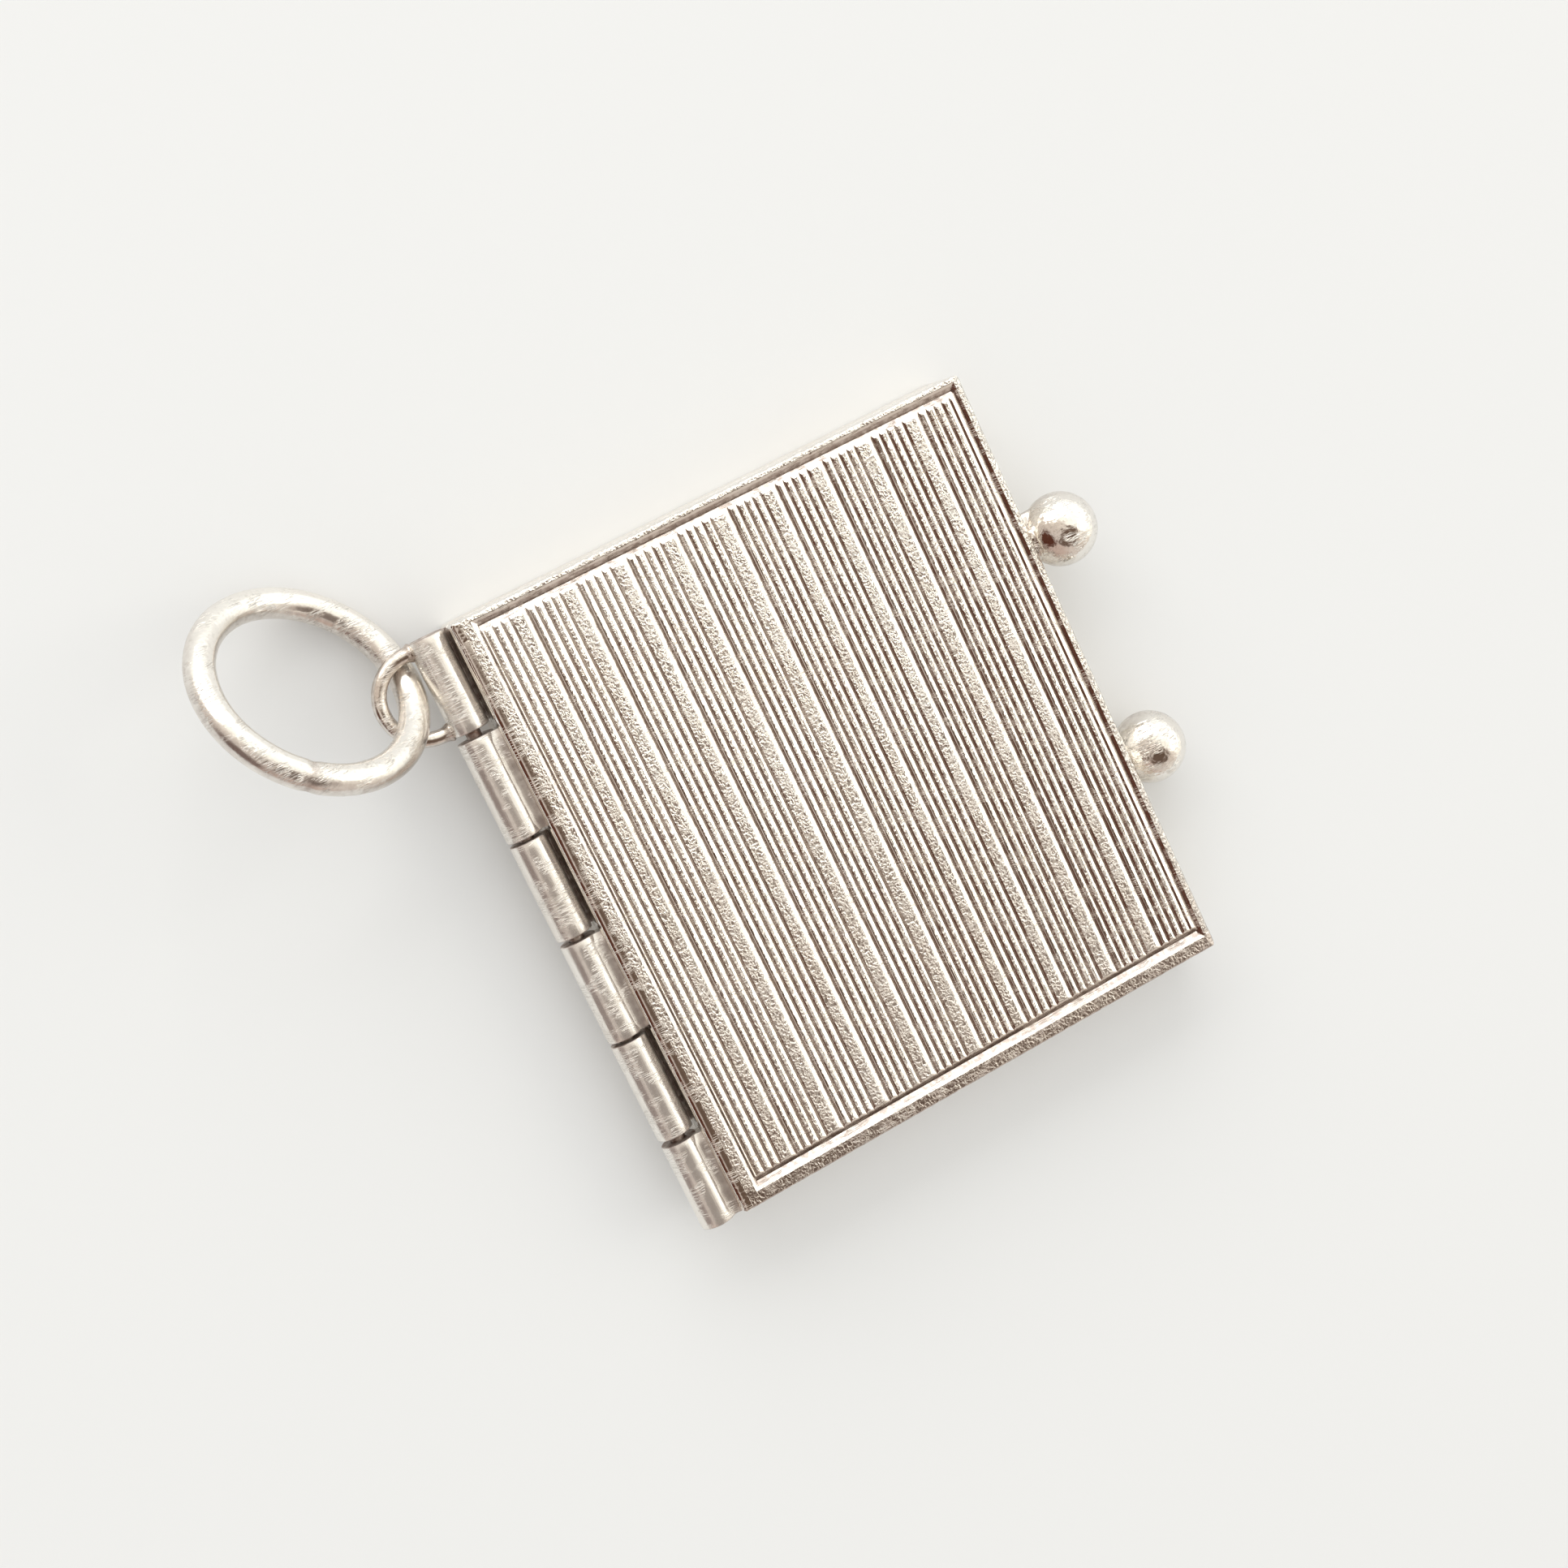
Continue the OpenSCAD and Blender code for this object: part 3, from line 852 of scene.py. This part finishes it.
def bent_wire(path, radii, parts, closed, flat_side):
    """A round wire along a path in the plane across flat_side, its radius given at each point."""
    path = [Vector(p) for p in path]
    count = len(path)
    points = []
    for k, centre in enumerate(path):
        before = path[k - 1] if closed or k else path[k]
        after = path[(k + 1) % count] if closed or k < count - 1 else path[k]
        heading = (after - before).normalized()
        side = heading.cross(flat_side).normalized()
        rise = side.cross(heading)
        for j in range(parts):
            a = 2 * math.pi * j / parts
            points.append(tuple(centre + (side * math.cos(a) + rise * math.sin(a)) * radii[k]))
    faces = []
    for k in range(count if closed else count - 1):
        a, b = k * parts, (k + 1) % count * parts
        for j in range(parts):
            n = (j + 1) % parts
            faces.append((a + j, a + n, b + n, b + j))
    if not closed:
        faces.append(tuple(reversed(range(parts))))
        faces.append(tuple(range((count - 1) * parts, count * parts)))
    return points, faces


loop_path = []
for k in range(arm_steps):
    x = loop_foot_x + (loop_bend_x - loop_foot_x) * k / arm_steps
    loop_path.append((x, loop_y + loop_r, hinge_z))
for k in range(bend_steps + 1):
    a = math.pi / 2 + math.pi * k / bend_steps
    loop_path.append((loop_bend_x + loop_r * math.cos(a), loop_y + loop_r * math.sin(a), hinge_z))
for k in range(1, arm_steps + 1):
    x = loop_bend_x + (loop_foot_x - loop_bend_x) * k / arm_steps
    loop_path.append((x, loop_y - loop_r, hinge_z))
loop_radii = []
for x, y, z in loop_path:
    near = max(0.0, 1 - abs(x - (hinge_x - knuckle_r)) / flare_reach)
    uneven = loop_uneven * noise.noise(Vector((x * 1.5, y * 1.5, 2.0)))
    loop_radii.append(loop_wire_r - loop_uneven + uneven + solder_flare * near**2)
loop_silver = silver(
    "loop_silver", rough=(0.14, 0.24), streaks=0.0, dents=10.0, pits=7.0, scratches=8.0, warmth=0.9,
)
points, faces = bent_wire(loop_path, loop_radii, loop_parts, False, Vector((0, 0, 1)))
tarnish_and_shade = []
for k, point in enumerate(points):
    foot = max(0.0, 1 - abs(point[0] - (hinge_x - knuckle_r)) / 0.3)
    # Painted shade along the wire's two sides
    side = abs(math.cos(2 * math.pi * k / loop_parts)) ** 3
    tarnish_and_shade.append(loop_grime + loop_end_grime * foot + loop_side_painted_shade * side)
fit_piece("chain_loop", points, faces, loop_silver, "base", "back_cover",
          tarnish_and_shade=tarnish_and_shade)


# JUMP RING
# Heavy round silver wire closed into a ring through the loop and soldered shut, the seam still
# showing as a darker line. It leans in the loop with its low side on the table.
ring_r = 4.1
ring_wire_r = 0.6
ring_lean, ring_turn = 45.0, 37.4
ring_high = ring_r * math.sin(math.radians(ring_lean)) + ring_wire_r
ring_centre = Vector((hinge_x - 4.74, loop_y + 2.17, ring_high))
ring_parts, ring_steps = 56, 240
ring_uneven, ring_worn = 0.006, 0.012
# The seam: its place round the ring in degrees, half its width, the depth of its waist, and the
# swelling to each side of it; round part of the wire it is darker than round the rest
seam_at = 196.0
seam_half, seam_waist = 0.20, 0.05
swell_half, swell_high = 0.5, 0.012
seam_dark_parts = range(25, 50)
seam_grime, seam_other_grime = 0.9, 0.35
# Tarnish overall, and painted shade along the wire's two sides, which outline it from above
ring_grime, ring_side_painted_shade = 0.03, 0.28

tilt = Matrix.Rotation(math.radians(ring_turn), 3, "Z") @ Matrix.Rotation(math.radians(ring_lean), 3, "Y")
ring_path, ring_radii, seam_near = [], [], []
for k in range(ring_steps):
    a = 2 * math.pi * k / ring_steps
    off = (math.degrees(a) - seam_at + 180) % 360 - 180
    away = math.radians(off) * ring_r
    near = math.exp(-((away / seam_half) ** 2))
    swell = math.exp(-((away / swell_half) ** 2))
    uneven = ring_uneven * noise.noise(Vector((math.cos(a) * 3, math.sin(a) * 3, 1.0)))
    ring_path.append(ring_centre + tilt @ Vector((math.cos(a), math.sin(a), 0)) * ring_r)
    ring_radii.append(ring_wire_r - ring_worn + uneven - seam_waist * near + swell_high * swell)
    seam_near.append(near)
ring_silver = silver(
    "ring_silver", rough=(0.14, 0.22), streaks=0.0, dents=12.0, pits=5.0, scratches=10.0,
    warmth=0.45, satin=0.12,
)
points, faces = bent_wire(ring_path, ring_radii, ring_parts, True, tilt @ Vector((0, 0, 1)))
tarnish_and_shade = []
for near in seam_near:
    for j in range(ring_parts):
        # Painted shade along the wire's two sides
        side = abs(math.cos(2 * math.pi * j / ring_parts)) ** 3
        seam = (seam_grime if j in seam_dark_parts else seam_other_grime) * near
        tarnish_and_shade.append(ring_grime + ring_side_painted_shade * side + seam)
fit_piece("jump_ring_wire", points, faces, ring_silver, "base", "jump_ring",
          tarnish_and_shade=tarnish_and_shade)
